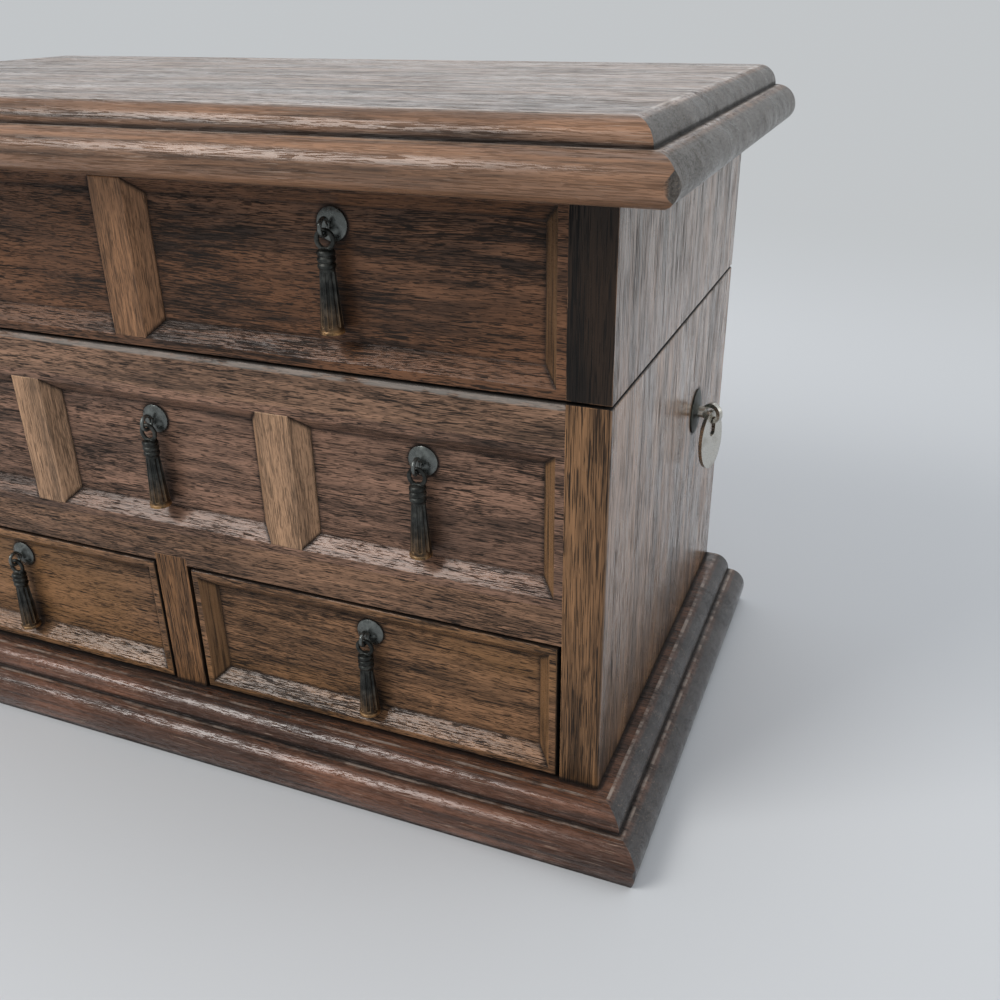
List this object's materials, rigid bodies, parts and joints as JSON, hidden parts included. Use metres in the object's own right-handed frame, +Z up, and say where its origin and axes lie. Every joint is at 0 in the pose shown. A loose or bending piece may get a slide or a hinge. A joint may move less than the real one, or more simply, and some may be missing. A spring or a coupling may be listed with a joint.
{
  "type": "musical jewelry box",
  "caption": "Wooden musical jewelry box with a routed base and lid, sunk-field fronts, drawers with tassel pulls, a lined tray, a lid mirror and a key-wound movement.",
  "frame": {"origin": "under the middle of the whole box, hinge knuckles included, on the plane it stands on", "axes": "+X to the viewer's right along the front, +Y from the front to the back, +Z up"},
  "size_m": [0.254, 0.1366, 0.163],
  "materials": {
    "walnut": "dark stained open-pored wood, satin, worn pale on its edges",
    "block_wood": "lighter orange-brown wood, satin, upright grain",
    "inner_wood": "plain pale wood, matt",
    "velvet": "short-pile deep red velvet",
    "blackened_metal": "blackened cast metal, worn brassy on its rims",
    "nickel": "satin nickel plate, slightly dulled",
    "brass": "aged brass",
    "steel": "bright ground steel",
    "bedplate_casting": "grey die casting",
    "mirror_glass": "silvered glass",
    "clear_cover": "clear thin sheet"
  },
  "bodies": {
    "case": {"base_board": "walnut", "left_side_board": "walnut", "right_side_board": "walnut", "back_board": "walnut", "upper_rail": "walnut", "lower_rail": "walnut", "middle_panel": "walnut", "middle_blocks": "block_wood", "divider_post": "walnut", "drawer_partition": "inner_wood", "tray_floor": "inner_wood", "tray_lining": "velvet", "tray_long_divider": "inner_wood", "tray_cross_divider": "inner_wood", "ring_rolls": "velvet", "music_bay_wall": "inner_wood", "music_cover": "clear_cover", "movement_bedplate": "bedplate_casting", "movement_screws": "steel", "music_comb": "steel", "key_plate": "blackened_metal", "middle_pull_mounts": "blackened_metal", "hinge_body_leaves": "brass", "hinge_pins": "brass", "hinge_body_screws": "brass"},
    "lid": {"lid_board": "walnut", "lid_front_panel": "walnut", "lid_left_side": "walnut", "lid_right_side": "walnut", "lid_back_board": "walnut", "lid_block": "block_wood", "lid_pull_mounts": "blackened_metal", "lid_mirror": "mirror_glass", "mirror_surround": "velvet", "hinge_lid_leaves": "brass", "hinge_lid_screws": "brass"},
    "left_drawer": {"left_drawer_front": "walnut", "left_drawer_walls": "inner_wood", "left_drawer_bottom": "inner_wood", "left_drawer_lining": "velvet", "left_drawer_pull_mount": "blackened_metal"},
    "right_drawer": {"right_drawer_front": "walnut", "right_drawer_walls": "inner_wood", "right_drawer_bottom": "inner_wood", "right_drawer_lining": "velvet", "right_drawer_pull_mount": "blackened_metal"},
    "winding_key": {"winding_key_stem": "nickel"},
    "key_flag": {"winding_key_flag": "nickel"},
    "barrel": {"spring_barrel": "steel", "mainspring": "steel"},
    "drum": {"pinned_drum": "brass"},
    "fly": {"air_brake_fly": "brass"},
    "stop": {"stop_wire": "steel"},
    "lid_left_pull_drop": {"lid_left_pull": "blackened_metal"},
    "lid_right_pull_drop": {"lid_right_pull": "blackened_metal"},
    "middle_left_pull_drop": {"middle_left_pull": "blackened_metal"},
    "middle_centre_pull_drop": {"middle_centre_pull": "blackened_metal"},
    "middle_right_pull_drop": {"middle_right_pull": "blackened_metal"},
    "left_drawer_pull_drop": {"left_drawer_pull": "blackened_metal"},
    "right_drawer_pull_drop": {"right_drawer_pull": "blackened_metal"}
  },
  "joints": [
    {"name": "lid_hinge", "type": "hinge", "parent": "case", "child": "lid", "pos_m": [0, 0.0668, 0.1095], "axis": [-1, 0, 0], "range_deg": [0, 100]},
    {"name": "left_drawer_slide", "type": "slide", "parent": "case", "child": "left_drawer", "axis": [0, -1, 0], "range_m": [0, 0.085]},
    {"name": "right_drawer_slide", "type": "slide", "parent": "case", "child": "right_drawer", "axis": [0, -1, 0], "range_m": [0, 0.085]},
    {"name": "lid_left_pull_swing", "type": "hinge", "parent": "lid", "child": "lid_left_pull_drop", "pos_m": [-0.05343, -0.0552, 0.1393], "axis": [-1, 0, 0], "range_deg": [-1.5, 90]},
    {"name": "lid_right_pull_swing", "type": "hinge", "parent": "lid", "child": "lid_right_pull_drop", "pos_m": [0.05343, -0.0552, 0.1393], "axis": [-1, 0, 0], "range_deg": [-1.5, 90]},
    {"name": "middle_left_pull_swing", "type": "hinge", "parent": "case", "child": "middle_left_pull_drop", "pos_m": [-0.07123, -0.0552, 0.0899], "axis": [-1, 0, 0], "range_deg": [-1.5, 90]},
    {"name": "middle_centre_pull_swing", "type": "hinge", "parent": "case", "child": "middle_centre_pull_drop", "pos_m": [0, -0.0552, 0.0899], "axis": [-1, 0, 0], "range_deg": [-1.5, 90]},
    {"name": "middle_right_pull_swing", "type": "hinge", "parent": "case", "child": "middle_right_pull_drop", "pos_m": [0.07123, -0.0552, 0.0899], "axis": [-1, 0, 0], "range_deg": [-1.5, 90]},
    {"name": "left_drawer_pull_swing", "type": "hinge", "parent": "left_drawer", "child": "left_drawer_pull_drop", "pos_m": [-0.05465, -0.0552, 0.0418], "axis": [-1, 0, 0], "range_deg": [-1.5, 90]},
    {"name": "right_drawer_pull_swing", "type": "hinge", "parent": "right_drawer", "child": "right_drawer_pull_drop", "pos_m": [0.05465, -0.0552, 0.0418], "axis": [-1, 0, 0], "range_deg": [-1.5, 90]},
    {"name": "key_turn", "type": "hinge", "parent": "case", "child": "winding_key", "pos_m": [0.114, 0.0274, 0.0785], "axis": [1, 0, 0], "continuous": true},
    {"name": "flag_fold", "type": "hinge", "parent": "winding_key", "child": "key_flag", "pos_m": [0.1186, 0.0274, 0.0785], "axis": [-0.3746, -0.9272, 0], "range_deg": [0, 90]},
    {"name": "barrel_turn", "type": "hinge", "parent": "case", "child": "barrel", "pos_m": [0.0977, 0.0274, 0.0785], "axis": [1, 0, 0], "continuous": true},
    {"name": "drum_turn", "type": "hinge", "parent": "case", "child": "drum", "pos_m": [0.0895, 0.0477, 0.0785], "axis": [0, 1, 0], "continuous": true},
    {"name": "fly_turn", "type": "hinge", "parent": "case", "child": "fly", "pos_m": [0.08305, 0.0234, 0.08222], "axis": [0, 1, 0], "continuous": true},
    {"name": "stop_wire_lift", "type": "slide", "parent": "case", "child": "stop", "axis": [0, 0, 1], "range_m": [0, 0.0031]}
  ],
  "couplings": [
    {"joint": "drum_turn", "follows": "barrel_turn", "ratio": -2.8},
    {"joint": "fly_turn", "follows": "barrel_turn", "ratio": 15.4},
    {"joint": "stop_wire_lift", "follows": "lid_hinge", "m_per_rad": 0.0017}
  ]
}
